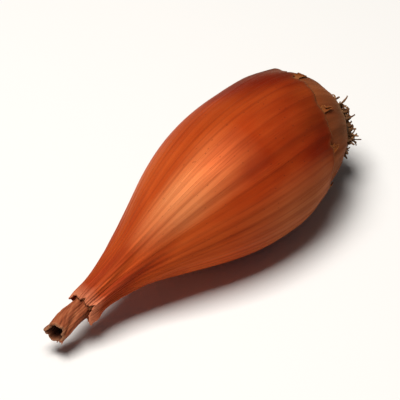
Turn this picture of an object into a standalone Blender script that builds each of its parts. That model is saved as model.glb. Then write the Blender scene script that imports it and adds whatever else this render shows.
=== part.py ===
"""One onion set: a small dry onion bulb, grown for planting, lying on its side.

Metres, +Z up. The bulb lies along X, with its neck towards -X and its root end towards +X.
It rests on a small flat spot at z = 0, and the origin is on the ground under its middle.
Three pieces: the bulb in its dry skin, the withered leaf stub that stands in the mouth of the
skin's neck, and the corky root plate with its dried roots.
"""

import math
import random

import bmesh
import bpy
from mathutils import Matrix, Vector, noise

# "Along" is the distance from the belly's widest ring, towards the neck.
BELLY_RADIUS = 0.0099
NECK_LENGTH = 0.0292
NECK_RADIUS = 0.0021
NECK_TAPER = 1.12
ROOT_LENGTH = 0.0139
ROOT_BLUNTNESS = 2.35
ROOT_FACE_ALONG = -0.0126
FLAT_SPOT_DEPTH = 0.00045
SEAT_GAP = 0.0003

# The line that the bulb is grown around: the neck droops, and the root end sits a little low.
NECK_DROP = 0.0056
NECK_SIDEWAYS = 0.0009
NECK_BEND_START = 0.0020
STUB_TIP_ALONG = 0.0340
ROOT_DROP = 0.0020
ROOT_SIDEWAYS = -0.0012

# A belly that isn't quite round, one cheek fuller than the other towards the root, shallow
# dents, pleats at the neck and creases at the root.
BELLY_LOBES = ((2, 0.018, 0.6), (3, 0.012, 2.1))
ROOT_CHEEK = 0.09
ROOT_CHEEK_SIDE = math.radians(50)
DENT_DEPTH = 0.00018
DENT_SIZE = 0.0075
PLEATS = 7
PLEAT_DEPTH = 0.14
PLEAT_START = 0.0120
PLEAT_TWIST = 0.9
CREASES = 13
CREASE_DEPTH = 0.022
CREASE_START = 0.0050

# The dry outer skin is torn off near the root end, and its edge stands as a low step.
TORN_EDGE_ALONG = -0.0096
TORN_EDGE_RAGGED = 0.0007
SKIN_STEP = 0.00035

# The skin's open mouth round the leaf stub, with one flap that stands away from it.
MOUTH_DEPTH = 0.0024
MOUTH_RAGGED = 0.0004
FLAP_ANGLE = math.radians(234)
FLAP_WIDTH = 0.55
FLAP_LENGTH = 0.0008
FLAP_FLARE = 0.0006

# The withered leaf stub.
STUB_RADIUS = 0.00115
STUB_TIP_RADIUS = 0.00155
STUB_HOLLOW_RADIUS = 0.0008
STUB_HOLLOW_DEPTH = 0.0014
STUB_FOLDS = 5
STUB_FOLD_DEPTH = 0.14
STUB_FOLD_TURN = 0.0114
STUB_RAGGED = 0.0003

# The root plate and its roots.
PLATE_RADIUS = 0.0038
PLATE_THICKNESS = 0.0015
PLATE_WRINKLES = 14
PLATE_WRINKLE_DEPTH = 0.05
ROOTS = 44
ROOT_FIELD_RADIUS = 0.0029
ROOT_THICKNESS = 0.00055
ROOT_SHORTEST = 0.0010
ROOT_LONGEST = 0.0022
ROOT_SUNK = 0.0006
ROOT_SIDES = 4
ROOT_STEPS = 3
GOLDEN_ANGLE = math.pi * (3 - math.sqrt(5))
SEED = 11

SKIN_SEGMENTS = 48
SKIN_RINGS = 27
STUB_SEGMENTS = 25
STUB_RINGS = 9
PLATE_SEGMENTS = 42


def ease(value, low, high):
    """0 below low, 1 above high, and a smooth rise between them."""
    share = min(1.0, max(0.0, (value - low) / (high - low)))
    return share * share * (3 - 2 * share)


def spine(along):
    """The point on the bulb's centre line."""
    height = BELLY_RADIUS - FLAT_SPOT_DEPTH
    if along > NECK_BEND_START:
        bend = ((along - NECK_BEND_START) / (STUB_TIP_ALONG - NECK_BEND_START)) ** 2
        return Vector((-along, NECK_SIDEWAYS * bend, height - NECK_DROP * bend))
    if along < 0:
        bend = (along / ROOT_LENGTH) ** 2
        return Vector((-along, ROOT_SIDEWAYS * bend, height - ROOT_DROP * bend))
    return Vector((-along, 0, height))


def ring_point(along, radius, angle):
    """A point round the centre line. Angle 0 is on top, and a quarter turn is towards +Y."""
    step = 0.0001
    tangent = (spine(along + step) - spine(along - step)).normalized()
    side = tangent.cross(Vector((0, 0, 1))).normalized()
    top = side.cross(tangent)
    return spine(along) + radius * (math.cos(angle) * top + math.sin(angle) * side)


def round_noise(angle, seed, detail=1.0):
    """Smooth noise round a ring, from about -1 to 1, with no seam."""
    return noise.noise(Vector((detail * math.cos(angle), detail * math.sin(angle), 7.3 * seed)))


def angles(segments):
    return [math.tau * i / segments for i in range(segments)]


def body_radius(along):
    """The bulb's radius before its folds: blunt at the root, drawn out to the neck."""
    if along < 0:
        share = min(0.999, -along / ROOT_LENGTH)
        return BELLY_RADIUS * (1 - share**ROOT_BLUNTNESS) ** (1 / ROOT_BLUNTNESS)
    share = min(1.0, along / NECK_LENGTH)
    fall = (1 + math.cos(math.pi * share**NECK_TAPER)) / 2
    return NECK_RADIUS + (BELLY_RADIUS - NECK_RADIUS) * fall


def skin_radius(along, angle):
    """The radius of the dry skin, with its lobes, cheek, dents, neck pleats and root creases."""
    radius = body_radius(along)
    roundness = ease(radius, NECK_RADIUS, BELLY_RADIUS)
    for count, depth, phase in BELLY_LOBES:
        radius *= 1 + depth * roundness * math.cos(count * angle + phase)
    radius *= 1 + ROOT_CHEEK * ease(-along, 0.001, 0.009) * math.cos(angle - ROOT_CHEEK_SIDE)
    gather = ease(along, PLEAT_START, NECK_LENGTH)
    pleat = math.cos(PLEATS * (angle + PLEAT_TWIST * gather) + 2.2 * round_noise(angle, 1))
    radius *= 1 - PLEAT_DEPTH * gather * (0.5 + 0.5 * pleat)
    pucker = ease(-along, CREASE_START, -TORN_EDGE_ALONG)
    crease = math.cos(CREASES * angle + 3 * round_noise(angle, 2))
    radius *= 1 - CREASE_DEPTH * pucker * (0.5 + 0.5 * crease)
    dent = noise.noise(ring_point(along, radius, angle) / DENT_SIZE)
    return radius + DENT_DEPTH * roundness * dent


def under_skin_radius(along, angle):
    """The radius of the thinner skin that shows where the outer skin is torn off."""
    return skin_radius(along, angle) - SKIN_STEP


def flap_share(angle):
    """1 in the middle of the loose flap at the skin's mouth, 0 away from it."""
    off = math.remainder(angle - FLAP_ANGLE, math.tau)
    return math.exp(-((off / FLAP_WIDTH) ** 2))


def torn_edge(angle):
    """Where the outer skin ends near the root."""
    ragged = round_noise(angle, 3, 1.5) + 0.5 * round_noise(angle, 4, 5.0)
    return TORN_EDGE_ALONG + TORN_EDGE_RAGGED * ragged


def mouth(angle):
    """Where the outer skin ends at the neck."""
    return NECK_LENGTH + MOUTH_RAGGED * round_noise(angle, 5, 3.0) + FLAP_LENGTH * flap_share(angle)


def solid(name, rings, material):
    """An object whose mesh runs through the rings, with both ends closed."""
    mesh_data = bmesh.new()
    loops = [[mesh_data.verts.new(point) for point in ring] for ring in rings]
    count = len(loops[0])
    for first, second in zip(loops, loops[1:]):
        for i in range(count):
            j = (i + 1) % count
            mesh_data.faces.new((first[i], first[j], second[j], second[i]))
    mesh_data.faces.new(reversed(loops[0]))
    mesh_data.faces.new(loops[-1])
    bmesh.ops.recalc_face_normals(mesh_data, faces=mesh_data.faces)
    mesh = bpy.data.meshes.new(name)
    mesh_data.to_mesh(mesh)
    mesh_data.free()
    mesh.materials.append(material)
    made = bpy.data.objects.new(name, mesh)
    bpy.context.scene.collection.objects.link(made)
    return made


def finish_material(name, colour, roughness):
    material = bpy.data.materials.new(name)
    material.use_nodes = True
    shader = material.node_tree.nodes["Principled BSDF"]
    shader.inputs["Base Color"].default_value = (*colour, 1)
    shader.inputs["Roughness"].default_value = roughness
    shader.inputs["Metallic"].default_value = 0
    return material


def shade(made, sharp_angle):
    """Smooth shading, apart from edges sharper than the angle."""
    made.data.shade_smooth()
    made.data.set_sharp_from_angle(angle=math.radians(sharp_angle))


def cut_flat_spot(made):
    """Takes off what would lie below the ground, and closes the cut with one flat face."""
    mesh_data = bmesh.new()
    mesh_data.from_mesh(made.data)
    everything = mesh_data.verts[:] + mesh_data.edges[:] + mesh_data.faces[:]
    cut = bmesh.ops.bisect_plane(
        mesh_data, geom=everything, plane_co=(0, 0, 0), plane_no=(0, 0, 1), clear_inner=True
    )
    rim = [part for part in cut["geom_cut"] if isinstance(part, bmesh.types.BMEdge)]
    bmesh.ops.contextual_create(mesh_data, geom=rim)
    bmesh.ops.recalc_face_normals(mesh_data, faces=mesh_data.faces)
    mesh_data.to_mesh(made.data)
    mesh_data.free()


def root_end_rings(turn):
    """From the flat face that seats the root plate, over the under-skin, up the torn edge."""
    face_edge = ROOT_FACE_ALONG + 0.0001
    rings = [
        [ring_point(ROOT_FACE_ALONG, PLATE_RADIUS, a) for a in turn],
        [ring_point(face_edge, under_skin_radius(face_edge, a), a) for a in turn],
    ]
    for share in (0.45, 0.94):
        ring = []
        for a in turn:
            along = face_edge + share * (torn_edge(a) - face_edge)
            ring.append(ring_point(along, under_skin_radius(along, a), a))
        rings.append(ring)
    rings.append([ring_point(torn_edge(a), skin_radius(torn_edge(a), a), a) for a in turn])
    return rings


def belly_ring(turn, share):
    """One ring of the outer skin, from the torn edge (share 0) to the neck's mouth (share 1)."""
    ring = []
    for a in turn:
        along = torn_edge(a) + share * (mouth(a) - torn_edge(a))
        flare = FLAP_FLARE * flap_share(a) * ease(along, NECK_LENGTH - 0.002, mouth(a))
        ring.append(ring_point(along, skin_radius(along, a) + flare, a))
    return ring


def make_bulb():
    """The bulb in its dry skin, with a blind pocket in the neck's mouth for the leaf stub."""
    turn = angles(SKIN_SEGMENTS)
    pocket_radius = STUB_RADIUS + SEAT_GAP
    pocket_end = NECK_LENGTH - MOUTH_DEPTH
    rings = root_end_rings(turn)
    rings += [belly_ring(turn, (i / SKIN_RINGS) ** 0.93) for i in range(1, SKIN_RINGS + 1)]
    rings.append([ring_point(mouth(a) - 0.0001, pocket_radius + 0.0001, a) for a in turn])
    rings.append([ring_point(pocket_end, pocket_radius, a) for a in turn])
    bulb = solid("bulb", rings, finish_material("dry_skin", (0.42, 0.10, 0.03), 0.42))
    cut_flat_spot(bulb)
    shade(bulb, 50)
    return bulb


def stub_radius(along, angle):
    """The stub's folded outline, wider at its torn end."""
    widen = ease(along, NECK_LENGTH, STUB_TIP_ALONG)
    radius = STUB_RADIUS + (STUB_TIP_RADIUS - STUB_RADIUS) * widen
    fold = math.cos(STUB_FOLDS * angle + math.tau * along / STUB_FOLD_TURN)
    return radius * (1 - STUB_FOLD_DEPTH * (0.5 + 0.5 * fold))


def stub_tip(angle):
    return STUB_TIP_ALONG + STUB_RAGGED * (round_noise(angle, 8, 4.0) - 0.5)


def make_neck_stub():
    """The withered leaf bases: a folded, twisted stub, hollow at its torn end."""
    turn = angles(STUB_SEGMENTS)
    start = NECK_LENGTH - MOUTH_DEPTH + SEAT_GAP
    rings = []
    for i in range(STUB_RINGS + 1):
        ring = []
        for a in turn:
            along = start + (stub_tip(a) - start) * i / STUB_RINGS
            ring.append(ring_point(along, stub_radius(along, a), a))
        rings.append(ring)
    rings.append([ring_point(stub_tip(a) - 0.0001, STUB_HOLLOW_RADIUS, a) for a in turn])
    hollow_floor = STUB_TIP_ALONG - STUB_HOLLOW_DEPTH
    rings.append([ring_point(hollow_floor, 0.7 * STUB_HOLLOW_RADIUS, a) for a in turn])
    stub = solid("neck_stub", rings, finish_material("withered_leaf", (0.33, 0.16, 0.08), 0.8))
    shade(stub, 50)
    return stub


def make_plate(material):
    """The corky disc that the roots grow from."""
    turn = angles(PLATE_SEGMENTS)
    inner = ROOT_FACE_ALONG - SEAT_GAP
    outline = ((0.0, 0.93), (0.25, 1.0), (0.6, 0.97), (0.88, 0.84), (1.0, 0.62), (1.06, 0.30))
    rings = []
    for depth, width in outline:
        ring = []
        for a in turn:
            wrinkle = math.cos(PLATE_WRINKLES * a + 3 * round_noise(a, 9))
            radius = width * PLATE_RADIUS * (1 - PLATE_WRINKLE_DEPTH * (0.5 + 0.5 * wrinkle))
            ring.append(ring_point(inner - depth * PLATE_THICKNESS, radius, a))
        rings.append(ring)
    return solid("root_plate", rings, material)


def make_root(number, draw, material):
    """One dried root: a short bent stalk that grows out of the plate's face."""
    spread = math.sqrt((number + 0.5) / ROOTS)
    angle = number * GOLDEN_ANGLE
    face = ROOT_FACE_ALONG - SEAT_GAP - PLATE_THICKNESS * (1.04 - 0.25 * spread**3)
    foot = ring_point(face, spread * ROOT_FIELD_RADIUS, angle)
    outward = ring_point(face, 1.0, angle) - ring_point(face, 0.0, angle)
    away = (spine(ROOT_FACE_ALONG) - spine(ROOT_FACE_ALONG + 0.001)).normalized()
    stray = Vector((draw.uniform(-1, 1), draw.uniform(-1, 1), draw.uniform(-1, 1)))
    heading = (away + outward * (0.15 + 0.9 * spread) + 0.35 * stray).normalized()
    curl = 0.9 * Vector((0, draw.uniform(-1, 1), draw.uniform(-1, 1)))
    length = draw.uniform(ROOT_SHORTEST, ROOT_LONGEST) * (1.0 - 0.35 * spread)
    point = foot - heading * ROOT_SUNK
    rings = []
    for step in range(ROOT_STEPS + 1):
        side = heading.cross(Vector((0.31, 0.77, 0.55))).normalized()
        up = side.cross(heading)
        radius = 0.5 * ROOT_THICKNESS * (1 - 0.45 * step / ROOT_STEPS)
        rings.append([
            point + radius * (math.cos(a) * side + math.sin(a) * up) for a in angles(ROOT_SIDES)
        ])
        point = point + heading * (ROOT_SUNK + length) / ROOT_STEPS
        heading = (heading + curl / ROOT_STEPS).normalized()
    return solid(f"root_{number}", rings, material)


def make_root_plate():
    """The root plate with its roots, joined in one solid."""
    material = finish_material("dried_root", (0.36, 0.27, 0.17), 0.9)
    plate = make_plate(material)
    draw = random.Random(SEED)
    roots = bpy.data.collections.new("roots")
    bpy.context.scene.collection.children.link(roots)
    for number in range(ROOTS):
        root = make_root(number, draw, material)
        bpy.context.scene.collection.objects.unlink(root)
        roots.objects.link(root)
    union = plate.modifiers.new("join roots", "BOOLEAN")
    union.operation = "UNION"
    union.operand_type = "COLLECTION"
    union.collection = roots
    union.solver = "EXACT"
    graph = bpy.context.evaluated_depsgraph_get()
    joined = bpy.data.meshes.new_from_object(plate.evaluated_get(graph))
    plate.modifiers.clear()
    plate.data = joined
    for root in list(roots.objects):
        bpy.data.objects.remove(root)
    bpy.data.collections.remove(roots)
    shade(plate, 40)
    return plate


def centre_on_ground(pieces):
    """Moves the pieces together, so that the origin is under the middle of their box."""
    corners = [vertex.co for piece in pieces for vertex in piece.data.vertices]
    middle = [(min(c[i] for c in corners) + max(c[i] for c in corners)) / 2 for i in (0, 1)]
    for piece in pieces:
        piece.data.transform(Matrix.Translation((-middle[0], -middle[1], 0)))


def main():
    for old in list(bpy.data.objects):
        bpy.data.objects.remove(old)
    centre_on_ground([make_bulb(), make_neck_stub(), make_root_plate()])


main()
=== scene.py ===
"""One onion set: a small dry onion bulb, grown for planting, lying on its side.

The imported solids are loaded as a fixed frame. Each piece of the real bulb is then built over its solid
with its real surface: papery skins, a torn hem, a withered leaf stub, a corky root plate and dried roots.
Everything is in metres, with the neck towards -X, the roots towards +X and the ground at z = 0.
"""

import math

import bpy
import numpy as np
from mathutils import Matrix, Vector, noise


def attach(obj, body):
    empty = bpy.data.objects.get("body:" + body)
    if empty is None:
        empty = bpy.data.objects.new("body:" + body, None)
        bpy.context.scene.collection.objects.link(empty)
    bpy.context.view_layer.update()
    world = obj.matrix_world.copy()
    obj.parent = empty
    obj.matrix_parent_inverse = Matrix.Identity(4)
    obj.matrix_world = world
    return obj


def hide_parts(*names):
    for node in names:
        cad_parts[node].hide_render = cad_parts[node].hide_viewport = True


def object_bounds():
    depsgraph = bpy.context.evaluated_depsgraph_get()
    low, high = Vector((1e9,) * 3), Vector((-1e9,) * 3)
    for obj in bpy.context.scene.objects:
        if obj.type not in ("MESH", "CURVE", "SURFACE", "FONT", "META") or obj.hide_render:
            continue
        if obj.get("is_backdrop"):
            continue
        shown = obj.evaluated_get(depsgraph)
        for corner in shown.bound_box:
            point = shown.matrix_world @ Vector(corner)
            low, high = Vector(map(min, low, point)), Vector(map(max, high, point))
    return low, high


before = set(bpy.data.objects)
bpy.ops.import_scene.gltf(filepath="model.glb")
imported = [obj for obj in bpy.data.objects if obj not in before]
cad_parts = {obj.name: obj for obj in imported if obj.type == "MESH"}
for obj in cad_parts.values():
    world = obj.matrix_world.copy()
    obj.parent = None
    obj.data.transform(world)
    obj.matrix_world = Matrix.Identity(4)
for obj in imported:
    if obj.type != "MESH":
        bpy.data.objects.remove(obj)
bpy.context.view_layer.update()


# The bulb under its outer skin
# Swollen leaf scales, grown as one firm body and wrapped in a thin brown skin. That skin shows where the
# outer one is torn off near the roots, and as an inner sleeve in the open mouth of the neck.

# "Along" is the distance from the belly's widest ring, towards the neck.
BELLY_X = 0.009068
BELLY_Y = -0.000050
BELLY_RADIUS = 0.0099
FLAT_SPOT_DEPTH = 0.00045
FLAT_SPOT_EDGE = 0.00012
NECK_LENGTH = 0.0292
NECK_RADIUS = 0.0021
NECK_TAPER = 1.12
NECK_DROP = 0.0056
NECK_SIDEWAYS = 0.0009
NECK_BEND_START = 0.0020
STUB_TIP_ALONG = 0.0340
ROOT_LENGTH = 0.0139
ROOT_BLUNTNESS = 2.35
ROOT_FACE_ALONG = -0.0126
ROOT_DROP = 0.0020
ROOT_SIDEWAYS = -0.0012
BELLY_LOBES = ((2, 0.018, 0.6), (3, 0.012, 2.1))
ROOT_CHEEK = 0.09
ROOT_CHEEK_SIDE = math.radians(50)
PLEATS = 7
PLEAT_DEPTH = 0.11
PLEAT_START = 0.0120
PLEAT_TWIST = 0.9
COLLAR_LENGTH = 0.0019
COLLAR_CLOSING = 0.22
CREASES = 13
CREASE_DEPTH = 0.022
CREASE_START = 0.0050
CREASE_FULL = 0.0096

VEINS = 46
VEIN_JITTER = 0.30
VEIN_JITTER_WAVES = (5, 23)
VEIN_WIDTH = 0.019
VEIN_HEIGHT = 0.000026
WRINKLE_WAVES = (24, 46)
WRINKLE_HEIGHT = 0.000055
DENT_WAVES = (1, 5)
DENT_HEIGHT = 0.00007

# How squarely a point has to face each side for its colour to begin and to be full, and where along the bulb,
# in belly radii, the colour begins and fades.
# The first side carries a painted highlight, a paler patch where the light's satin highlight falls.
PAINTED_HIGHLIGHT_SIDE = math.radians(341)
PAINTED_HIGHLIGHT_TOWARDS = (math.cos(PAINTED_HIGHLIGHT_SIDE), math.sin(PAINTED_HIGHLIGHT_SIDE), 0.0)
PAINTED_HIGHLIGHT_FACING = (0.86, 1.02)
PAINTED_HIGHLIGHT_BEGINS = (0.3, 1.3)
PAINTED_HIGHLIGHT_FADES = (1.5, 2.2)
PAINTED_HIGHLIGHT_COLOUR = (0.66, 0.25, 0.095)
# The second side carries painted reflected light, a lighter golden brown low on the flank that faces partly
# down towards the floor.
PAINTED_BOUNCE_SIDE = math.radians(257)
PAINTED_BOUNCE_TOWARDS = (math.cos(PAINTED_BOUNCE_SIDE), math.sin(PAINTED_BOUNCE_SIDE), 0.0)
PAINTED_BOUNCE_FACING = (0.70, 0.97)
PAINTED_BOUNCE_BEGINS = (-1.05, -0.45)
PAINTED_BOUNCE_FADES = (0.3, 1.2)
PAINTED_BOUNCE_SHARE = 0.68
PAINTED_BOUNCE_COLOUR = (0.50, 0.17, 0.060)

UNDER_SKIN_DEPTH = 0.00024
UNDER_SKIN_LOWEST = 0.00014
UNDER_SKIN_FIRST_ROW = 0.00006
UNDER_SKIN_COLUMNS = 300
UNDER_SKIN_ROWS = 190
SLEEVE_WALL = 0.00016
SLEEVE_SHORT_OF_MOUTH = 0.0001
SLEEVE_RAGGED = 0.00035
SLEEVE_INSIDE = (0.0, 0.0003, 0.0022)


def ease(value, low, high):
    """0 at low, 1 at high, and a smooth rise between them."""
    share = np.clip((value - low) / (high - low), 0, 1)
    return share * share * (3 - 2 * share)


def growth_line(along):
    """Points on the line that the bulb is grown around. The neck droops and the root end sits low."""
    neck = np.clip((along - NECK_BEND_START) / (STUB_TIP_ALONG - NECK_BEND_START), 0, None) ** 2
    root = np.clip(-along / ROOT_LENGTH, 0, None) ** 2
    x = BELLY_X - along
    y = BELLY_Y + NECK_SIDEWAYS * neck + ROOT_SIDEWAYS * root
    z = BELLY_RADIUS - FLAT_SPOT_DEPTH - NECK_DROP * neck - ROOT_DROP * root
    return np.stack([x, y, z], axis=-1)


def unit(vectors):
    return vectors / np.linalg.norm(vectors, axis=-1, keepdims=True)


def growth_axes(along):
    """At each distance along the line: the way to the neck, the way up, and the way to +Y."""
    neckwards = unit(growth_line(along + 1e-4) - growth_line(along - 1e-4))
    side = unit(np.cross(neckwards, (0.0, 0.0, 1.0)))
    return neckwards, np.cross(side, neckwards), side


def around(along, radius, angle):
    """Points round the growth line. Angle 0 is on top, and a quarter turn is towards +Y."""
    along, radius, angle = np.broadcast_arrays(along, radius, angle)
    _, up, side = growth_axes(along)
    outward = np.cos(angle)[..., None] * up + np.sin(angle)[..., None] * side
    return growth_line(along) + radius[..., None] * outward


def ring_noise(angle, seed, detail=1.0):
    """Smooth noise round a ring, from about -1 to 1, with no seam."""
    places = [(detail * math.cos(a), detail * math.sin(a), 7.3 * seed) for a in np.ravel(angle)]
    return np.reshape([noise.noise(Vector(place)) for place in places], np.shape(angle))


def ring_waves(angle, along, seed, waves, drift):
    """Mixed waves round the bulb, from about -1 to 1, that wander by up to drift turns a metre."""
    draw = np.random.default_rng(seed)
    total = 0.0
    for _ in range(9):
        count = draw.integers(*waves)
        start = draw.uniform(0, math.tau)
        wander = math.tau * draw.uniform(-drift, drift)
        total = total + np.cos(count * angle + start + wander * along)
    return total / 4.5


def bulb_radius(along):
    """The bulb's radius before its folds: blunt at the root, drawn out to the neck."""
    root = np.clip(-along / ROOT_LENGTH, 0, 0.999)
    blunt = BELLY_RADIUS * (1 - root**ROOT_BLUNTNESS) ** (1 / ROOT_BLUNTNESS)
    neck = np.clip(along / NECK_LENGTH, 0, 1)
    fall = (1 + np.cos(math.pi * neck**NECK_TAPER)) / 2
    return np.where(along < 0, blunt, NECK_RADIUS + (BELLY_RADIUS - NECK_RADIUS) * fall)


def vein(angle, along):
    """1 on the ridge of a strong vein and 0 between veins. They run from the roots to the neck."""
    place = VEINS * angle / math.tau + VEIN_JITTER * ring_waves(angle, along, 3, VEIN_JITTER_WAVES, 15)
    number = np.round(place)
    strengths = np.random.default_rng(4).uniform(0.25, 1.0, VEINS)
    off_line = (place - number) * math.tau / VEINS
    return strengths[number.astype(int) % VEINS] * np.exp(-((off_line / VEIN_WIDTH) ** 2))


def skin_radius(along, angle):
    """The outer skin's radius, with lobes, a fuller cheek, dents, pleats, creases, veins and wrinkles."""
    radius = bulb_radius(along)
    roundness = ease(radius, NECK_RADIUS, BELLY_RADIUS)
    for count, depth, phase in BELLY_LOBES:
        radius = radius * (1 + depth * roundness * np.cos(count * angle + phase))
    radius = radius * (1 + ROOT_CHEEK * ease(-along, 0.001, 0.009) * np.cos(angle - ROOT_CHEEK_SIDE))
    gather = ease(along, PLEAT_START, NECK_LENGTH)
    pleat = np.cos(PLEATS * (angle + PLEAT_TWIST * gather) + 2.2 * ring_noise(angle, 1))
    radius = radius * (1 - PLEAT_DEPTH * gather * (0.5 + 0.5 * pleat))
    collar = np.clip((along - NECK_LENGTH + COLLAR_LENGTH) / COLLAR_LENGTH, 0, 1.25)
    radius = radius * (1 - COLLAR_CLOSING * collar**2)
    pucker = ease(-along, CREASE_START, CREASE_FULL)
    crease = np.cos(CREASES * angle + 3 * ring_noise(angle, 2))
    radius = radius * (1 - CREASE_DEPTH * pucker * (0.5 + 0.5 * crease))
    radius = radius + DENT_HEIGHT * roundness * ring_waves(angle, along, 5, DENT_WAVES, 40)
    tight = np.maximum(ease(along, 0.010, NECK_LENGTH), 0.45 * ease(-along, 0.006, 0.0125))
    wrinkles = ring_waves(angle, along, 6, WRINKLE_WAVES, 60)
    return radius + VEIN_HEIGHT * vein(angle, along) + WRINKLE_HEIGHT * tight * wrinkles


def on_ground(points, lowest):
    """The same points, with the belly pressed flat where it rests. The edge of the flat spot is soft."""
    pressed = points.copy()
    height = points[..., 2] - lowest
    pressed[..., 2] = lowest + (height + np.hypot(height, FLAT_SPOT_EDGE)) / 2
    return pressed


def turns(columns):
    """The angles of the columns of a mesh that goes right round, as one row."""
    return np.arange(columns)[None, :] * math.tau / columns


def round_faces(index):
    """The faces of a mesh that goes right round, given its points' numbers row by row."""
    beside = np.roll(index, -1, axis=1)
    return np.stack([index[:-1], beside[:-1], beside[1:], index[1:]], axis=-1).reshape(-1, 4).tolist()


def new_piece(name, points, faces, grown, finish, veins=None, edges=None):
    """A mesh object. Its finish can read where each point grew, and how near a vein or torn edge it is."""
    count = len(grown.reshape(-1, 3))
    mesh = bpy.data.meshes.new(name)
    mesh.from_pydata(points.reshape(-1, 3).tolist(), [], faces)
    mesh.attributes.new("grown", "FLOAT_VECTOR", "POINT").data.foreach_set("vector", grown.ravel())
    veins = np.zeros(count) if veins is None else veins
    mesh.attributes.new("vein", "FLOAT", "POINT").data.foreach_set("value", veins.ravel())
    edges = np.zeros((count, 3)) if edges is None else edges
    mesh.attributes.new("edge", "FLOAT_VECTOR", "POINT").data.foreach_set("vector", edges.ravel())
    mesh.shade_smooth()
    mesh.materials.append(finish)
    piece = bpy.data.objects.new(name, mesh)
    bpy.context.scene.collection.objects.link(piece)
    return piece


def skin_piece(name, rows, angle, finish, lowest, edges=None, capped=False, looped=False):
    """A piece whose mesh runs round and along the bulb. rows is a list of (along, radius) pairs.

    lowest is the height of its flat spot, for all rows or for each. A looped one is a thin wall, whose last
    row joins the first.
    """
    along = np.stack([np.broadcast_to(row[0], angle.shape[1:]) for row in rows])
    radius = np.stack([np.broadcast_to(row[1], angle.shape[1:]) for row in rows])
    turned = np.broadcast_to(angle, along.shape)
    index = np.arange(along.size).reshape(along.shape)
    faces = round_faces(np.concatenate([index, index[:1]]) if looped else index)
    if capped:
        faces += [index[0, ::-1].tolist(), index[-1].tolist()]
    grown = np.stack([np.cos(turned), np.sin(turned), along / BELLY_RADIUS], axis=-1)
    closeness = None if edges is None else edges(along)
    points = on_ground(around(along, radius, turned), np.reshape(lowest, (-1, 1)))
    return new_piece(name, points, faces, grown, finish, vein(turned, along), closeness)


def new_finish(name, roughness, specular=0.5):
    """A material, its node tree and its shader."""
    finish = bpy.data.materials.new(name)
    finish.use_nodes = True
    shader = finish.node_tree.nodes["Principled BSDF"]
    shader.inputs["Roughness"].default_value = roughness
    shader.inputs["Specular IOR Level"].default_value = specular
    return finish, finish.node_tree, shader


def put(tree, kind, inputs=None, **settings):
    """One shader node. Each input is a plain value, or the output that it is linked from."""
    made = tree.nodes.new("ShaderNode" + kind)
    for setting, value in settings.items():
        setattr(made, setting, value)
    for socket, value in (inputs or {}).items():
        if isinstance(value, bpy.types.NodeSocket):
            tree.links.new(value, made.inputs[socket])
        else:
            made.inputs[socket].default_value = value
    return made


def stretched_noise(tree, place, round_scale, along_scale, detail=3.0, seed=0.0):
    """Noise drawn out along the veins, from about 0.3 to 0.7."""
    shift = {"Vector": place, "Location": (seed, 1.7 * seed, 0.6 * seed)}
    shift["Scale"] = (round_scale, round_scale, along_scale)
    drawn = put(tree, "Mapping", shift).outputs["Vector"]
    return put(tree, "TexNoise", {"Vector": drawn, "Scale": 1.0, "Detail": detail}).outputs["Fac"]


def spread(tree, value, low, high, to_low=0.0, to_high=1.0):
    """The value's range from low to high, spread over another range and held at its ends."""
    ends = {"Value": value, "From Min": low, "From Max": high, "To Min": to_low, "To Max": to_high}
    return put(tree, "MapRange", ends).outputs["Result"]


def reckon(tree, operation, first, second=0.0):
    return put(tree, "Math", {0: first, 1: second}, operation=operation).outputs["Value"]


def blend_colour(tree, share, first, second, way="MIX"):
    """Two colours mixed. Each is an RGB triple or another node's output."""
    colours = {0: share}
    for socket, colour in ((6, first), (7, second)):
        colours[socket] = colour if isinstance(colour, bpy.types.NodeSocket) else (*colour, 1)
    return put(tree, "Mix", colours, data_type="RGBA", blend_type=way).outputs[2]


def colour_stops(tree, value, stops):
    """A colour that changes with the value: stops is a list of (value, RGB triple)."""
    ramp = put(tree, "ValToRGB", {"Fac": value})
    while len(ramp.color_ramp.elements) < len(stops):
        ramp.color_ramp.elements.new(0.5)
    for element, (place, colour) in zip(ramp.color_ramp.elements, stops):
        element.position = place
        element.color = (*colour, 1)
    return ramp.outputs["Color"]


def facing(tree, place, towards):
    """How squarely each point faces one side of the bulb: 1 straight at it, and -1 straight away."""
    return put(tree, "VectorMath", {0: place, 1: towards}, operation="DOT_PRODUCT").outputs["Value"]


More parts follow.
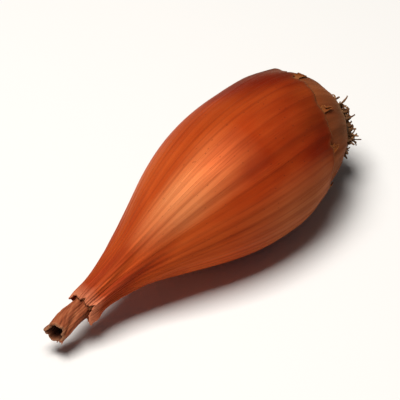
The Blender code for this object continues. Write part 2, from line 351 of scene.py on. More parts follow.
def papery_skin(
    name, along_colours, gold, gold_share, vein_colour, hem_colour_and_shade, lip_colour_and_highlight, roughness, specular,
    # The last argument sets how strong the painted highlight and the painted reflected light are.
    painted_light_share=0.0,
):
    """Dry onion skin: satin, coloured along its length, and streaked and veined from roots to neck."""
    finish, tree, shader = new_finish(name, roughness, specular)
    grown = put(tree, "Attribute", attribute_name="grown").outputs["Vector"]
    ridge = put(tree, "Attribute", attribute_name="vein").outputs["Fac"]
    edge = put(tree, "Attribute", attribute_name="edge").outputs["Vector"]
    edge_parts = put(tree, "SeparateXYZ", {"Vector": edge})

    # From the root end to the neck, with the borders between the colours wandering.
    along = put(tree, "SeparateXYZ", {"Vector": grown}).outputs["Z"]
    wander = stretched_noise(tree, grown, 1.6, 1.1, 2.0, 9.0)
    patchy = reckon(tree, "ADD", along, spread(tree, wander, 0.3, 0.7, -0.30, 0.30))
    colour = colour_stops(tree, spread(tree, patchy, -1.35, 3.0), along_colours)

    # Paler, golden patches where the skin is thin, and long soft streaks.
    clouds = stretched_noise(tree, grown, 1.5, 0.7, 3.0, 2.0)
    colour = blend_colour(tree, spread(tree, clouds, 0.42, 0.68, 0.0, gold_share), colour, gold)

    # A painted highlight: one long soft paler patch near the top of the bulb, on the side towards the camera,
    # where the light's satin highlight falls.
    faced = facing(tree, grown, PAINTED_HIGHLIGHT_TOWARDS)
    uneven_edge = spread(tree, wander, 0.3, 0.7, -0.03, 0.03)
    painted_highlight = spread(tree, reckon(tree, "ADD", faced, uneven_edge), *PAINTED_HIGHLIGHT_FACING, 0.0, painted_light_share)
    painted_highlight = reckon(tree, "MULTIPLY", painted_highlight, spread(tree, along, *PAINTED_HIGHLIGHT_BEGINS))
    painted_highlight = reckon(tree, "MULTIPLY", painted_highlight, spread(tree, along, *PAINTED_HIGHLIGHT_FADES, 1.0, 0.0))
    colour = blend_colour(tree, painted_highlight, colour, PAINTED_HIGHLIGHT_COLOUR)

    # Painted reflected light: low on one flank, facing partly down towards the floor, the skin is painted a
    # lighter golden brown, as if lit by light bounced off the floor.
    faced = facing(tree, grown, PAINTED_BOUNCE_TOWARDS)
    cheek = spread(tree, reckon(tree, "ADD", faced, uneven_edge), *PAINTED_BOUNCE_FACING, 0.0, PAINTED_BOUNCE_SHARE * painted_light_share)
    cheek = reckon(tree, "MULTIPLY", cheek, spread(tree, along, *PAINTED_BOUNCE_BEGINS))
    cheek = reckon(tree, "MULTIPLY", cheek, spread(tree, along, *PAINTED_BOUNCE_FADES, 1.0, 0.0))
    colour = blend_colour(tree, cheek, colour, PAINTED_BOUNCE_COLOUR)

    streaks = stretched_noise(tree, grown, 7.0, 0.40, 4.0, 5.0)
    streak_shades = [(0.0, (0.70, 0.58, 0.52)), (0.55, (1.0, 1.0, 1.0)), (1.0, (1.12, 1.24, 1.3))]
    shade = colour_stops(tree, spread(tree, streaks, 0.3, 0.7), streak_shades)
    colour = blend_colour(tree, 0.70, colour, shade, "MULTIPLY")

    # Strong veins, and the fine ones that branch between them. They fade where they crowd into the neck.
    fine = stretched_noise(tree, grown, 21.0, 0.30, 2.0, 1.0)
    off_line = reckon(tree, "ABSOLUTE", reckon(tree, "SUBTRACT", fine, 0.5))
    fine_line = spread(tree, off_line, 0.0, 0.030, 1.0, 0.0)
    fine_share = reckon(tree, "MULTIPLY", fine_line, 0.19)
    lines = reckon(tree, "ADD", fine_share, reckon(tree, "MULTIPLY", ridge, 0.36))
    lines = reckon(tree, "MULTIPLY", lines, spread(tree, along, 1.1, 2.7, 1.0, 0.45))
    colour = blend_colour(tree, lines, colour, vein_colour)

    # A few dark specks of dried soil. The skin is darker along the torn hem, partly its own darker torn edge
    # and partly painted shade under the lifted hem, and paler at the lip of the mouth, partly worn and partly
    # a painted highlight on the rounded collar.
    cells = put(tree, "Mapping", {"Vector": grown, "Scale": (30.0, 30.0, 20.0)}).outputs["Vector"]
    specks = put(tree, "TexVoronoi", {"Vector": cells, "Scale": 1.0, "Randomness": 1.0})
    rare = put(tree, "SeparateColor", {"Color": specks.outputs["Color"]}).outputs["Red"]
    near = spread(tree, specks.outputs["Distance"], 0.1, 0.30, 1.0, 0.0)
    speck = reckon(tree, "MULTIPLY", near, spread(tree, rare, 0.90, 0.94, 0.0, 0.5))
    colour = blend_colour(tree, speck, colour, (0.06, 0.016, 0.008))
    # The darker hem is partly the torn edge's own colour and partly painted shade where the lifted hem shades
    # the skin.
    hem_dark_and_shade_share = spread(tree, edge_parts.outputs["X"], 0.0, 1.0, 0.0, 0.75)
    colour = blend_colour(tree, hem_dark_and_shade_share, colour, hem_colour_and_shade)
    # The paler lip is partly the worn edge's own colour and partly a painted highlight on the rounded collar.
    lip_pale_and_highlight_share = spread(tree, edge_parts.outputs["Y"], 0.1, 1.0, 0.0, 0.75)
    colour = blend_colour(tree, lip_pale_and_highlight_share, colour, lip_colour_and_highlight)
    tree.links.new(colour, shader.inputs["Base Color"])

    uneven = spread(tree, streaks, 0.3, 0.7, roughness + 0.09, roughness - 0.07)
    tree.links.new(uneven, shader.inputs["Roughness"])
    fibres = stretched_noise(tree, grown, 70.0, 3.0, 2.0, 3.0)
    fine_relief = reckon(tree, "MULTIPLY", fine_line, 0.5)
    streak_relief = reckon(tree, "MULTIPLY", streaks, 1.2)
    relief = reckon(tree, "ADD", fine_relief, streak_relief)
    relief = reckon(tree, "ADD", relief, reckon(tree, "MULTIPLY", fibres, 0.45))
    bump = put(tree, "Bump", {"Height": relief, "Strength": 0.5, "Distance": 0.00005})
    tree.links.new(bump.outputs["Normal"], shader.inputs["Normal"])
    shader.inputs["Metallic"].default_value = 0.13
    shader.inputs["Sheen Weight"].default_value = 0.10
    shader.inputs["Sheen Roughness"].default_value = 0.4
    shader.inputs["Sheen Tint"].default_value = (1.0, 0.50, 0.20, 1)
    shader.inputs["Subsurface Weight"].default_value = 0.06
    shader.inputs["Subsurface Radius"].default_value = (1.0, 0.35, 0.12)
    shader.inputs["Subsurface Scale"].default_value = 0.0008
    shader.inputs["Specular Tint"].default_value = (1.0, 0.62, 0.34, 1)
    return finish


under_skin_finish = papery_skin(
    "thin_under_skin",
    [
        (0.00, (0.110, 0.031, 0.012)),
        (0.07, (0.175, 0.042, 0.014)),
        (0.14, (0.225, 0.050, 0.015)),
        (0.30, (0.270, 0.058, 0.013)),
        (0.80, (0.280, 0.070, 0.022)),
        (1.00, (0.340, 0.120, 0.050)),
    ],
    gold=(0.40, 0.135, 0.042),
    gold_share=0.4,
    vein_colour=(0.080, 0.020, 0.007),
    hem_colour_and_shade=(0.060, 0.020, 0.010),
    lip_colour_and_highlight=(0.420, 0.180, 0.090),
    roughness=0.62,
    specular=0.015,
)


def under_skin_radius(along, angle):
    return skin_radius(along, angle) - UNDER_SKIN_DEPTH


def sleeve_end(angle):
    """Where the under-skin ends in the neck's mouth."""
    ragged = ring_noise(angle, 12, 4.0) + 0.5 * ring_noise(angle, 13, 11.0)
    return NECK_LENGTH - SLEEVE_SHORT_OF_MOUTH + SLEEVE_RAGGED * ragged


angle = turns(UNDER_SKIN_COLUMNS)
ring = angle[0]
root_face_ring = under_skin_radius(np.full_like(angle, ROOT_FACE_ALONG), angle)[0]
rows = [(ROOT_FACE_ALONG, 0.4 * root_face_ring), (ROOT_FACE_ALONG, 0.93 * root_face_ring)]
for share in np.linspace(0, 1, UNDER_SKIN_ROWS) ** 1.25:
    start = ROOT_FACE_ALONG + UNDER_SKIN_FIRST_ROW
    along = (start + share * (sleeve_end(ring) - start))[None, :]
    rows.append((along[0], under_skin_radius(along, angle)[0]))
inner_wall = rows[-1][1] - SLEEVE_WALL
for back in SLEEVE_INSIDE:
    rows.append((sleeve_end(ring) - back, inner_wall))
under_skin = skin_piece("under_skin", rows, angle, under_skin_finish, UNDER_SKIN_LOWEST, capped=True)
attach(under_skin, "root")


# The dry outer skin
# One papery, copper-red skin round the bulb, about a tenth of a millimetre thick. It is gathered into the
# neck, where it ends in an open mouth with a worn lip and two loose flaps. Near the roots it is torn off in a
# ragged hem.

OUTER_SKIN_COLUMNS = 460
OUTER_SKIN_ROWS = 184
INNER_WALL_ROWS = 24
PAPER_THICKNESS = 0.00007
PAPER_LOWEST = 0.00002
PAPER_LOWEST_INSIDE = 0.00008
INNER_WALL_DEPTH = 1.3 * PAPER_THICKNESS
HEM_ALONG = -0.0080
HEM_SLANT = 0.0018
HEM_SHORT_SIDE = math.radians(275)
HEM_TURNED_BACK = 0.0012
HEM_INSIDE = (HEM_TURNED_BACK, 0.5 * HEM_TURNED_BACK, 0.0001)
HEM_RAGGED = 0.0005
HEM_TEETH = 0.00007
HEM_STRIPS = 13
HEM_STRIP_WIDTHS = (0.03, 0.20)
HEM_STRIP_LENGTHS = (-0.0003, 0.0009)
HEM_LIFT = 0.001
HEM_LIFT_REACH = 0.0020
HEM_EDGE_WIDTH = 0.0006
LIP_THICKNESS = 0.00017
LIP_ROLL = 0.00008
LIP_ROLL_REACH = 0.0008
LIP_INSET = 0.00004
# How far from the mouth the paler lip reaches, partly a painted highlight.
LIP_EDGE_WIDTH = 0.0021
MOUTH_RAGGED = 0.00035
MOUTH_TEETH = 0.00006
MOUTH_SPLITS = 6
MOUTH_SPLIT_WIDTHS = (0.07, 0.16)
MOUTH_SPLIT_LENGTHS = (0.0003, 0.0010)
MOUTH_TURNED_BACK = 0.0024

# Inside the mouth: the share of the way back from the lip, and the share of the lip's thickness.
MOUTH_INSIDE = ((0.0, 0.45), (0.02, 1.0), (0.33, 0.9), (0.67, 0.5), (1.0, 0.5))
FLAP_LENGTH = 0.0010
FLAP_FLARE = 0.0010
FLAP_REACH = 0.0020

# The angle of each loose flap at the mouth, its width and its share of the full length and flare.
FLAPS = ((math.radians(234), 0.55, 1.0), (math.radians(62), 0.50, 0.6))

outer_skin_finish = papery_skin(
    "copper_outer_skin",
    [
        # Towards the root end the stops darken, partly the skin's own deeper colour and partly painted shade.
        (0.00, (0.090, 0.021, 0.009)),
        (0.12, (0.120, 0.014, 0.004)),
        (0.23, (0.185, 0.013, 0.003)),
        (0.35, (0.275, 0.020, 0.004)),
        (0.47, (0.420, 0.044, 0.007)),
        (0.58, (0.510, 0.072, 0.013)),
        (0.68, (0.515, 0.076, 0.014)),
        (0.78, (0.400, 0.048, 0.010)),
        (0.87, (0.305, 0.032, 0.009)),
        (0.955, (0.330, 0.044, 0.014)),
        (1.00, (0.420, 0.090, 0.040)),
    ],
    gold=(0.56, 0.105, 0.017),
    gold_share=0.38,
    vein_colour=(0.130, 0.014, 0.005),
    # The hem colour is partly the torn edge's own dark brown and partly painted shade.
    hem_colour_and_shade=(0.150, 0.034, 0.012),
    # The lip colour is partly the worn edge's own paler colour and partly a painted highlight.
    lip_colour_and_highlight=(0.620, 0.220, 0.115),
    roughness=0.43,
    specular=0.015,
    painted_light_share=0.68,
)


def apart(angle, middle):
    """How far each angle is from the middle one, the shorter way round."""
    return np.abs(np.angle(np.exp(1j * (angle - middle))))


def torn_hem(angle):
    """Where the outer skin ends near the roots. It tore along its veins, into strips of different lengths."""
    ragged = ring_noise(angle, 3, 1.5) + 0.5 * ring_noise(angle, 4, 5.0)
    hem = HEM_ALONG + HEM_SLANT * np.cos(angle - HEM_SHORT_SIDE) + HEM_RAGGED * ragged
    hem = hem + HEM_TEETH * ring_waves(angle, 0, 8, (20, 75), 0)
    draw = np.random.default_rng(17)
    for _ in range(HEM_STRIPS):
        middle, width = draw.uniform(0, math.tau), draw.uniform(*HEM_STRIP_WIDTHS)
        shorter = draw.uniform(*HEM_STRIP_LENGTHS)
        hem = hem + shorter * ease(width - apart(angle, middle), -0.022, 0.022)
    return hem


def hem_lift(angle, above_hem):
    """How far the skin stands off the bulb near its torn hem."""
    loose = 0.12 + 0.42 * ring_noise(angle, 21, 2.2) + 0.20 * ring_noise(angle, 22, 7.0)
    near = np.clip(1 - above_hem / HEM_LIFT_REACH, 0, 1)
    return HEM_LIFT * np.clip(loose, 0.03, 0.6) * near**2


def flap_share(angle):
    """1 in the middle of the longest flap at the mouth, and 0 away from the flaps."""
    return sum(share * np.exp(-((apart(angle, middle) / width) ** 2)) for middle, width, share in FLAPS)


def mouth(angle):
    """Where the outer skin ends at the neck."""
    teeth = MOUTH_TEETH * ring_waves(angle, 0, 14, (10, 40), 0)
    lip = NECK_LENGTH + MOUTH_RAGGED * ring_noise(angle, 5, 2.0) + FLAP_LENGTH * flap_share(angle) + teeth
    draw = np.random.default_rng(41)
    for _ in range(MOUTH_SPLITS):
        middle, width = draw.uniform(0, math.tau), draw.uniform(*MOUTH_SPLIT_WIDTHS)
        split = np.clip(1 - apart(angle, middle) / width, 0, 1) ** 1.3
        lip = lip - draw.uniform(*MOUTH_SPLIT_LENGTHS) * split
    return lip


def outer_skin_radius(along, angle):
    """The outer skin's radius, lifted at its hem, rolled at its lip and flared at its flaps."""
    lip = mouth(angle)
    flare = FLAP_FLARE * flap_share(angle) * ease(along, NECK_LENGTH - FLAP_REACH, lip)
    roll = LIP_ROLL * ease(along, lip - LIP_ROLL_REACH, lip)
    return skin_radius(along, angle) + flare + roll + hem_lift(angle, along - torn_hem(angle))


def outer_edges(along):
    """How near each point is to the torn hem, and to the lip of the mouth: 1 at the edge, 0 away from it."""
    hem_near = np.clip(1 - (along - hem) / HEM_EDGE_WIDTH, 0, 1)
    lip_near = np.clip(1 - (lip - along) / LIP_EDGE_WIDTH, 0, 1)
    return np.stack([hem_near, lip_near, np.zeros_like(along)], axis=-1)


angle = turns(OUTER_SKIN_COLUMNS)
ring = angle[0]
hem, lip = torn_hem(ring), mouth(ring)
rows = []
for back in HEM_INSIDE:
    along = (hem + back)[None, :]
    rows.append((along[0], outer_skin_radius(along, angle)[0] - PAPER_THICKNESS))
for step in np.linspace(0, 1, OUTER_SKIN_ROWS):
    share = 0.75 * step + 0.25 * ease(step, 0, 1)
    along = (hem + share * (lip - LIP_INSET - hem))[None, :]
    rows.append((along[0], outer_skin_radius(along, angle)[0]))
for back, inset in MOUTH_INSIDE:
    along = (lip - back * MOUTH_TURNED_BACK)[None, :]
    rows.append((along[0], outer_skin_radius(along, angle)[0] - inset * LIP_THICKNESS))
for share in np.linspace(0, 1, INNER_WALL_ROWS + 2)[1:-1]:
    along = (lip - MOUTH_TURNED_BACK + share * (hem + HEM_TURNED_BACK - lip + MOUTH_TURNED_BACK))[None, :]
    rows.append((along[0], outer_skin_radius(along, angle)[0] - INNER_WALL_DEPTH))
lowest = np.full(len(rows), PAPER_LOWEST_INSIDE)
lowest[len(HEM_INSIDE):len(HEM_INSIDE) + OUTER_SKIN_ROWS] = PAPER_LOWEST
outer_skin = skin_piece("outer_skin", rows, angle, outer_skin_finish, lowest, outer_edges, looped=True)
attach(outer_skin, "root")
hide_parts("bulb")


# The loose flakes
# Chips of skin that cracked at the torn hem when the bulb was dried. Each is a thin scrap, still held under
# the hem at one end, and curled up off the skin at the other.

# The angle round the bulb, its length from under the hem, its width and its lift.
FLAKES = (
    (298, 0.0019, 0.0016, 0.00012),
    (331, 0.0025, 0.0012, 0.00025),
    (12, 0.0017, 0.0020, 0.00012),
    (52, 0.0020, 0.0011, 0.00030),
    (101, 0.0014, 0.0019, 0.00015),
    (163, 0.0021, 0.0013, 0.00025),
    (221, 0.0024, 0.0010, 0.00035),
    (256, 0.0015, 0.0017, 0.00015),
)
FLAKE_THICKNESS = 0.00005
FLAKE_STANDS_OFF = 0.00005
FLAKE_CUP = 0.00012
FLAKE_HELD = 0.0007

flake_finish = papery_skin(
    "brown_flake",
    [(0.00, (0.190, 0.060, 0.020)), (0.12, (0.280, 0.078, 0.020)), (0.30, (0.330, 0.085, 0.020))],
    gold=(0.48, 0.22, 0.085),
    gold_share=0.6,
    vein_colour=(0.100, 0.034, 0.012),
    hem_colour_and_shade=(0.120, 0.050, 0.024),
    lip_colour_and_highlight=(0.50, 0.34, 0.20),
    roughness=0.62,
    specular=0.03,
)


def flake(degrees, length, width, lift, number):
    """The points of one flake's upper and lower sides, and where each grew."""
    down, over = np.meshgrid(np.linspace(0, 1, 25), np.linspace(-1, 1, 17), indexing="ij")
    bites = [noise.noise(Vector((4 * d, 2.5 * o, 5.1 * number))) for d, o in zip(down.ravel(), over.ravel())]
    bites = np.reshape(bites, down.shape)
    half = 0.5 * width * (1 - 0.62 * down**1.3 + 0.30 * bites * np.abs(over))
    held = float(torn_hem(np.array([math.radians(degrees)]))[0]) + FLAKE_HELD
    along = held - (FLAKE_HELD + length) * down * (1 - 0.34 * over**2 + 0.16 * bites)
    angle = math.radians(degrees) + (half * over + 0.22 * width * down * bites) / bulb_radius(along)
    cup = FLAKE_CUP * over**2 * down
    radius = under_skin_radius(along, angle) + FLAKE_STANDS_OFF + lift * down**2 + cup
    grown = np.stack([np.cos(angle), np.sin(angle), along / BELLY_RADIUS], axis=-1)
    return around(along, radius + FLAKE_THICKNESS, angle), around(along, radius, angle), grown


def sheet_faces(index_top, index_bottom):
    """The faces of a thin sheet: its upper side, its lower side and its edge."""
    faces = []
    for index, step in ((index_top, -1), (index_bottom, 1)):
        quads = np.stack([index[:-1, :-1], index[:-1, 1:], index[1:, 1:], index[1:, :-1]], axis=-1)
        faces += [quad[::step] for quad in quads.reshape(-1, 4).tolist()]
    borders = []
    for index in (index_top, index_bottom):
        borders.append(np.concatenate([index[0, :-1], index[:-1, -1], index[-1, :0:-1], index[:0:-1, 0]]))
    top, bottom = borders
    ahead_top, ahead_bottom = np.roll(top, -1), np.roll(bottom, -1)
    return faces + np.stack([top, ahead_top, ahead_bottom, bottom], axis=-1).tolist()


points, faces, grown, count = [], [], [], 0
for number, sizes in enumerate(FLAKES):
    upper, lower, where = flake(*sizes, number)
    index = count + np.arange(where.shape[0] * where.shape[1]).reshape(where.shape[:2])
    faces += sheet_faces(index, index + index.size)
    points += [upper.reshape(-1, 3), lower.reshape(-1, 3)]
    grown += [where.reshape(-1, 3), where.reshape(-1, 3)]
    count += 2 * index.size
skin_flakes = new_piece("skin_flakes", np.concatenate(points), faces, np.concatenate(grown), flake_finish)
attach(skin_flakes, "root")


# The withered leaf stub
# What is left of the green leaves after the bulb was dried and topped: red-brown leaf bases, folded and
# twisted into a hollow stalk that stands in the neck's mouth, with a slanting cut end and loose fibres.

STUB_COLUMNS = 132
STUB_ROWS = 80
STUB_RADIUS = 0.00142
STUB_TIP_RADIUS = 0.00160
STUB_WALL = 0.00040
STUB_FOLDS = ((2, 0.10, 0.4), (5, 0.15, 1.0), (11, 0.05, 2.0))
STUB_TWIST = 1.5
STUB_HOLLOW = ((0.0006, 0.95), (0.0014, 0.80), (0.0024, 0.45))
STUB_CUT_SLANT = 0.00062
STUB_CUT_FACES = math.radians(318)
STUB_RAGGED = 0.00036
STUB_HIDDEN_LENGTH = 0.0020
STUB_CREASE_WAVES = (9, 26)
STUB_CREASE_HEIGHT = 0.00005
FIBRES = 9
FIBRE_RADIUS = 0.00013
FIBRE_LONGEST = 0.0006
FIBRE_FOOT_BACK = 0.0004
FIBRE_FOOT_INSIDE = 0.0001

leaf_finish, leaf_tree, leaf_shader = new_finish("withered_leaf", 0.70, specular=0.12)
leaf_grown = put(leaf_tree, "Attribute", attribute_name="grown").outputs["Vector"]
leaf_painted_light = put(leaf_tree, "Attribute", attribute_name="vein").outputs["Fac"]
leaf_edge = put(leaf_tree, "Attribute", attribute_name="edge").outputs["Vector"]
leaf_rim = put(leaf_tree, "SeparateXYZ", {"Vector": leaf_edge}).outputs["X"]
leaf_streaks = stretched_noise(leaf_tree, leaf_grown, 3.6, 0.8, 4.0, 4.0)
leaf_shades = [(0.0, (0.100, 0.026, 0.011)), (0.45, (0.260, 0.060, 0.021)), (1.0, (0.400, 0.125, 0.050))]
leaf_colour = colour_stops(leaf_tree, spread(leaf_tree, leaf_streaks, 0.3, 0.7), leaf_shades)
leaf_pale = spread(leaf_tree, leaf_rim, 0.0, 1.0, 0.0, 0.6)
leaf_colour = blend_colour(leaf_tree, leaf_pale, leaf_colour, (0.460, 0.230, 0.120))
# Painted shade: the stub's vein attribute holds a painted light share, 1 on the outside, lower round the
# inward turn of the cut rim and 0.1 down in the hollow, where the colour goes nearly black.
leaf_colour = blend_colour(leaf_tree, leaf_painted_light, (0.030, 0.008, 0.004), leaf_colour)
leaf_tree.links.new(leaf_colour, leaf_shader.inputs["Base Color"])
leaf_fibres = stretched_noise(leaf_tree, leaf_grown, 24.0, 2.4, 3.0, 6.0)
leaf_bump = put(leaf_tree, "Bump", {"Height": leaf_fibres, "Strength": 0.6, "Distance": 0.00007})
leaf_tree.links.new(leaf_bump.outputs["Normal"], leaf_shader.inputs["Normal"])


def stub_tip(angle):
    """Where the stub was cut: on a slant, and a little ragged."""
    ragged = ring_noise(angle, 8, 1.7) + 0.4 * ring_noise(angle, 9, 5.0)
    return STUB_TIP_ALONG - STUB_CUT_SLANT * np.cos(angle - STUB_CUT_FACES) + STUB_RAGGED * ragged


def stub_radius(along, angle):
    """The folded, twisted and creased outline of the stub, wider at its cut end."""
    rise = ease(along, NECK_LENGTH, STUB_TIP_ALONG)
    radius = STUB_RADIUS + (STUB_TIP_RADIUS - STUB_RADIUS) * rise
    turned = angle + STUB_TWIST * (along - NECK_LENGTH) / (STUB_TIP_ALONG - NECK_LENGTH)
    folds = sum(depth * (0.5 + 0.5 * np.cos(count * turned + start)) for count, depth, start in STUB_FOLDS)
    creases = STUB_CREASE_HEIGHT * ring_waves(angle, along, 15, STUB_CREASE_WAVES, 120)
    return radius * (1 - folds) + creases


angle = turns(STUB_COLUMNS)
ring = angle[0]
tip = stub_tip(ring)
start = NECK_LENGTH - STUB_HIDDEN_LENGTH
along_rows, radius_rows, painted_light_rows = [], [], []
for share in np.linspace(0, 1, STUB_ROWS):
    along = (start + share * (tip - 0.5 * STUB_WALL - start))[None, :]
    along_rows.append(along[0])
    radius_rows.append(stub_radius(along, angle)[0])
    painted_light_rows.append(1.0)
rim_radius = radius_rows[-1]
# Round the inward turn of the cut rim the painted light share falls, as painted shade.
for turn in np.linspace(0, math.pi, 7)[1:]:
    along_rows.append(tip - 0.5 * STUB_WALL * (1 - math.sin(turn)))
    radius_rows.append(rim_radius - 0.5 * STUB_WALL * (1 - math.cos(turn)))
    painted_light_rows.append(0.55 + 0.45 * math.sin(turn))
# Down in the hollow the painted light share is 0.1, as painted shade.
for back, width in STUB_HOLLOW:
    along_rows.append(tip - 0.5 * STUB_WALL - back)
    radius_rows.append(width * (rim_radius - STUB_WALL))
    painted_light_rows.append(0.1)
along, radius = np.stack(along_rows), np.stack(radius_rows)
turned = np.broadcast_to(angle, along.shape)
index = np.arange(along.size).reshape(along.shape)
faces = round_faces(index) + [index[0, ::-1].tolist(), index[-1].tolist()]
twisted = turned + STUB_TWIST * (along - NECK_LENGTH) / (STUB_TIP_ALONG - NECK_LENGTH)
grown = np.stack([np.cos(twisted), np.sin(twisted), along / STUB_TIP_RADIUS], axis=-1)
# The stub's painted shade is stored in its vein attribute.
light = np.repeat(painted_light_rows, STUB_COLUMNS)
rim_near = np.clip(1 - np.abs(tip - along) / 0.0004, 0, 1)
edges = np.stack([rim_near, 0 * along, 0 * along], axis=-1)
leaf_stub = new_piece("leaf_stub", around(along, radius, turned), faces, grown, leaf_finish, light, edges)
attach(leaf_stub, "root")
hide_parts("neck_stub")


def strand(path, radii, sides):
    """The points and faces of one thin round strand along a path, closed at both ends."""
    heading = unit(np.gradient(path, axis=0))
    across = unit(np.cross(heading, (0.31, 0.77, 0.55)))
    other = np.cross(heading, across)
    turn = np.arange(sides) * math.tau / sides
    circle = np.cos(turn)[None, :, None] * across[:, None] + np.sin(turn)[None, :, None] * other[:, None]
    points = path[:, None] + np.asarray(radii)[:, None, None] * circle
    index = np.arange(len(path) * sides).reshape(len(path), sides)
    return points.reshape(-1, 3), round_faces(index) + [index[0, ::-1].tolist(), index[-1].tolist()]


def strands_piece(name, strands, sides, finish):
    """Many strands as one piece. Its finish can read each strand's number and how far along it a point is."""
    points, faces, grown, count = [], [], [], 0
    for number, (path, radii) in enumerate(strands):
        strand_points, strand_faces = strand(path, radii, sides)
        points.append(strand_points)
        faces += [[count + corner for corner in face] for face in strand_faces]
        share = np.repeat(np.linspace(0, 1, len(path)), sides)
        grown.append(np.stack([np.full(len(share), 0.37 * number), 0 * share, share], axis=-1))
        count += len(strand_points)
    return new_piece(name, np.concatenate(points), faces, np.concatenate(grown), finish, np.ones(count))


draw = np.random.default_rng(23)
fibres = []
for _ in range(FIBRES):
    at = draw.uniform(0, math.tau)
    foot_along = float(stub_tip(np.array([at]))[0]) - FIBRE_FOOT_BACK
    foot_radius = float(stub_radius(np.array([[foot_along]]), np.array([[at]]))[0, 0]) - FIBRE_FOOT_INSIDE
    steps = np.linspace(0, 1, 7)
    length = draw.uniform(0.4, 1.0) * FIBRE_LONGEST
    swing = draw.uniform(-0.5, 0.5)
    sway = draw.uniform(-0.0003, 0.0002) * steps**2
    path = around(foot_along + length * steps, foot_radius + sway, at + swing * steps**2)
    fibres.append((path, FIBRE_RADIUS * (1 - 0.6 * steps)))
leaf_fibre_ends = strands_piece("leaf_fibres", fibres, 5, leaf_finish)
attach(leaf_fibre_ends, "root")


# The root plate
# The hard disc of old stem that the roots grow from, dried to dark brown cork. It is cracked and knobbly, and
# stands a millimetre or two proud of the skins.

PLATE_RADIUS = 0.0038
PLATE_THICKNESS = 0.0015
PLATE_GAP = 0.00005
PLATE_COLUMNS = 150
PLATE_WRINKLES = 14
PLATE_WRINKLE_DEPTH = 0.07
PLATE_KNOB_HEIGHT = 0.00016
PLATE_KNOB_SIZE = 0.0007

# The share of the plate's thickness, going outwards, and the share of its radius.
PLATE_OUTLINE = (
    (0.00, 0.90), (0.12, 0.96), (0.25, 0.99), (0.40, 1.00), (0.55, 0.985), (0.68, 0.95), (0.78, 0.90),
    (0.87, 0.82), (0.93, 0.72), (0.97, 0.62), (1.00, 0.52), (1.02, 0.42), (1.03, 0.32), (1.04, 0.22),
    (1.05, 0.12),
)

cork_finish, cork_tree, cork_shader = new_finish("root_cork", 0.92, specular=0.1)
cork_place = put(cork_tree, "TexCoord").outputs["Object"]
cork_lumps = put(cork_tree, "TexNoise", {"Vector": cork_place, "Scale": 900.0, "Detail": 5.0}).outputs["Fac"]
cork_cells = put(cork_tree, "TexVoronoi", {"Vector": cork_place, "Scale": 1500.0}, feature="DISTANCE_TO_EDGE")
cork_cracks = cork_cells.outputs["Distance"]
cork_shades = [(0.0, (0.045, 0.020, 0.010)), (0.5, (0.115, 0.056, 0.027)), (1.0, (0.220, 0.125, 0.065))]
cork_colour = colour_stops(cork_tree, spread(cork_tree, cork_lumps, 0.3, 0.7), cork_shades)
cork_crack = spread(cork_tree, cork_cracks, 0.0, 0.12, 0.75, 0.0)
cork_colour = blend_colour(cork_tree, cork_crack, cork_colour, (0.022, 0.011, 0.007))
cork_tree.links.new(cork_colour, cork_shader.inputs["Base Color"])
cork_height = reckon(cork_tree, "ADD", cork_lumps, spread(cork_tree, cork_cracks, 0.0, 0.15, -0.4, 0.0))
cork_bump = put(cork_tree, "Bump", {"Height": cork_height, "Strength": 0.9, "Distance": 0.00015})
cork_tree.links.new(cork_bump.outputs["Normal"], cork_shader.inputs["Normal"])

ring = turns(PLATE_COLUMNS)[0]
wrinkle = 0.5 + 0.5 * np.cos(PLATE_WRINKLES * ring + 3 * ring_noise(ring, 9))
points = []
for depth, width in PLATE_OUTLINE:
    radius = width * PLATE_RADIUS * (1 - PLATE_WRINKLE_DEPTH * wrinkle * width)
    ring_points = around(ROOT_FACE_ALONG - PLATE_GAP - depth * PLATE_THICKNESS, radius, ring)
    knobs = np.array([noise.noise(Vector(point) / PLATE_KNOB_SIZE) for point in ring_points])
    outward = unit(ring_points - growth_line(np.full(PLATE_COLUMNS, ROOT_FACE_ALONG)))
    points.append(ring_points + (PLATE_KNOB_HEIGHT * min(1.0, 3 * depth) * knobs)[:, None] * outward)
points = np.stack(points)
index = np.arange(points.shape[0] * PLATE_COLUMNS).reshape(-1, PLATE_COLUMNS)
faces = [face[::-1] for face in round_faces(index)] + [index[0].tolist(), index[-1, ::-1].tolist()]
cork_plate = new_piece("cork_plate", points, faces, np.zeros_like(points), cork_finish)
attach(cork_plate, "root")
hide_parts("root_plate")


# The dried roots
# Thin wiry roots that withered when the bulb was dried and were rubbed short. They spring from all over the
# root plate, curl, and lie matted over it in a low brown tuft that leans to one side.

ROOTS = 340
ROOT_FIELD_RADIUS = 0.0034
ROOT_RADIUS = 0.00022
ROOT_SHORTEST = 0.0009
ROOT_LONGEST = 0.0033
ROOT_SUNK = 0.0003
ROOT_POINTS = 16
ROOT_LEAST_CURL = 0.8
ROOT_MOST_CURL = 3.6
ROOT_MAT_DEPTH = 0.0011
ROOT_MAT_SOFTNESS = 0.0008
ROOT_SETTLING = 0.38
ROOT_STRAY = 0.12
ROOT_LEAN = 0.8
ROOT_LEAN_SIDE = math.radians(240)
GOLDEN_ANGLE = math.pi * (3 - math.sqrt(5))

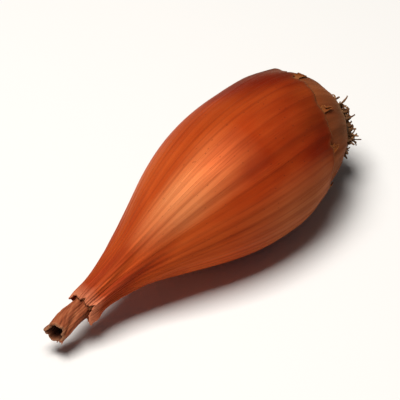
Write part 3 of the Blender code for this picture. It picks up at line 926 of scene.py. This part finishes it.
root_finish, root_tree, root_shader = new_finish("dried_root", 0.88, specular=0.12)
root_grown = put(root_tree, "Attribute", attribute_name="grown").outputs["Vector"]
root_parts = put(root_tree, "SeparateXYZ", {"Vector": root_grown})
root_each = put(root_tree, "TexWhiteNoise", {"W": root_parts.outputs["X"]}, noise_dimensions="1D")
root_shades = [(0.0, (0.095, 0.036, 0.014)), (0.5, (0.200, 0.086, 0.033)), (1.0, (0.345, 0.180, 0.080))]
root_colour = colour_stops(root_tree, root_each.outputs["Value"], root_shades)
root_foot = spread(root_tree, root_parts.outputs["Z"], 0.0, 0.35, 0.75, 0.0)
root_colour = blend_colour(root_tree, root_foot, root_colour, (0.045, 0.024, 0.013))
root_place = put(root_tree, "TexCoord").outputs["Object"]
root_dust = put(root_tree, "TexNoise", {"Vector": root_place, "Scale": 2600.0, "Detail": 3.0}).outputs["Fac"]
root_soil = spread(root_tree, root_dust, 0.35, 0.65, 0.5, 0.0)
root_colour = blend_colour(root_tree, root_soil, root_colour, (0.095, 0.050, 0.025))
root_tree.links.new(root_colour, root_shader.inputs["Base Color"])
root_bump = put(root_tree, "Bump", {"Height": root_dust, "Strength": 0.8, "Distance": 0.00006})
root_tree.links.new(root_bump.outputs["Normal"], root_shader.inputs["Normal"])

draw = np.random.default_rng(31)
face_middle = growth_line(np.array(ROOT_FACE_ALONG))
rootwards = -growth_axes(np.array(ROOT_FACE_ALONG))[0]
lean = ROOT_LEAN * (around(ROOT_FACE_ALONG, 1.0, ROOT_LEAN_SIDE) - around(ROOT_FACE_ALONG, 0.0, 0.0))
roots = []
for number in range(ROOTS):
    out = math.sqrt((number + 0.5) / ROOTS)
    at = number * GOLDEN_ANGLE + draw.uniform(-0.2, 0.2)
    face = ROOT_FACE_ALONG - PLATE_THICKNESS * (1.03 - 0.42 * out**4)
    foot = around(face, out * ROOT_FIELD_RADIUS, at)
    outward = around(face, 1.0, at) - around(face, 0.0, at)
    heading = unit(rootwards + lean + outward * (0.1 + 1.0 * out**2) + 0.5 * draw.uniform(-1, 1, 3))
    curl_about = unit(np.cross(heading, draw.normal(size=3)))
    length = (ROOT_SHORTEST + (ROOT_LONGEST - ROOT_SHORTEST) * draw.uniform(0, 1) ** 1.6) * (1 - 0.25 * out)
    curl = draw.uniform(ROOT_LEAST_CURL, ROOT_MOST_CURL)
    thin_side = 0.5 - 0.5 * math.cos(at - ROOT_LEAN_SIDE)
    mat_depth = ROOT_MAT_DEPTH * (1 - 0.7 * out * thin_side)
    path = [foot - ROOT_SUNK * heading]
    for _ in range(ROOT_POINTS - 1):
        path.append(path[-1] + heading * (ROOT_SUNK + length) / (ROOT_POINTS - 1))
        heading = np.array(Matrix.Rotation(curl / ROOT_POINTS, 3, Vector(curl_about)) @ Vector(heading))
        proud = float((path[-1] - face_middle) @ rootwards) - PLATE_THICKNESS
        settle = np.clip((mat_depth - proud) / ROOT_MAT_SOFTNESS, -1.0, 0.3)
        stray = ROOT_STRAY * draw.uniform(-1, 1, 3)
        heading = unit(heading + ROOT_SETTLING * settle * rootwards + stray)
    thick = ROOT_RADIUS * draw.uniform(0.6, 1.1)
    steps = np.linspace(0, 1, ROOT_POINTS)
    roots.append((np.array(path), thick * (1 - 0.5 * steps) * (1 + 0.14 * np.sin(13 * steps + number))))
dried_roots = strands_piece("dried_roots", roots, 7, root_finish)
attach(dried_roots, "root")


# The floor, the light and the camera
# A plain pale floor, one large soft light overhead and pale air. The camera looks down on the bulb, with the
# neck towards its lower left.

FLOOR_SIZE = 6.0
FLOOR_COLOUR = (0.80, 0.80, 0.80)
LIGHT_DISTANCE = 0.40
LIGHT_SIZE = 0.19
LIGHT_POWER = 2.25
LIGHT_FROM = (-0.16, 0.06, 0.98)
LIGHT_COLOUR = (1.0, 0.965, 0.915)
AIR_STRENGTH = 0.05
CAMERA_AZIMUTH = math.radians(-46)
CAMERA_ELEVATION = math.radians(45)
CAMERA_LENS = 300.0
CAMERA_FRAME_WIDTH = 0.050
SENSOR_WIDTH = 36.0

floor_mesh = bpy.data.meshes.new("floor")
half = FLOOR_SIZE / 2
corners = [(-half, -half, 0), (half, -half, 0), (half, half, 0), (-half, half, 0)]
floor_mesh.from_pydata(corners, [], [(0, 1, 2, 3)])
floor = bpy.data.objects.new("floor", floor_mesh)
bpy.context.scene.collection.objects.link(floor)
floor_finish, _, floor_shader = new_finish("pale_floor", 0.8, specular=0.2)
floor_shader.inputs["Base Color"].default_value = (*FLOOR_COLOUR, 1)
floor_mesh.materials.append(floor_finish)
floor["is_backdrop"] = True

low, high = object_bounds()
middle = (low + high) / 2

lamp = bpy.data.lights.new("softbox", "AREA")
lamp.size = LIGHT_SIZE
lamp.energy = LIGHT_POWER
lamp.color = LIGHT_COLOUR
softbox = bpy.data.objects.new("softbox", lamp)
away = Vector(LIGHT_FROM).normalized()
softbox.location = middle + LIGHT_DISTANCE * away
softbox.rotation_mode = "QUATERNION"
softbox.rotation_quaternion = (-away).to_track_quat("-Z", "Y")
bpy.context.scene.collection.objects.link(softbox)

air = bpy.data.worlds.new("pale_air")
air.use_nodes = True
air.node_tree.nodes["Background"].inputs["Color"].default_value = (1.0, 1.0, 1.0, 1)
air.node_tree.nodes["Background"].inputs["Strength"].default_value = AIR_STRENGTH
bpy.context.scene.world = air
bpy.context.scene.view_settings.view_transform = "Standard"

camera_data = bpy.data.cameras.new("camera")
camera_data.lens = CAMERA_LENS
camera_data.sensor_width = SENSOR_WIDTH
camera_data.clip_start = 0.01
camera_data.clip_end = 20.0
camera = bpy.data.objects.new("camera", camera_data)
bpy.context.scene.collection.objects.link(camera)
back = Vector((
    math.sin(CAMERA_AZIMUTH) * math.cos(CAMERA_ELEVATION),
    -math.cos(CAMERA_AZIMUTH) * math.cos(CAMERA_ELEVATION),
    math.sin(CAMERA_ELEVATION),
))
camera.location = middle + back * (CAMERA_FRAME_WIDTH * CAMERA_LENS / SENSOR_WIDTH)
camera.rotation_mode = "QUATERNION"
camera.rotation_quaternion = (-back).to_track_quat("-Z", "Y")
bpy.context.scene.camera = camera
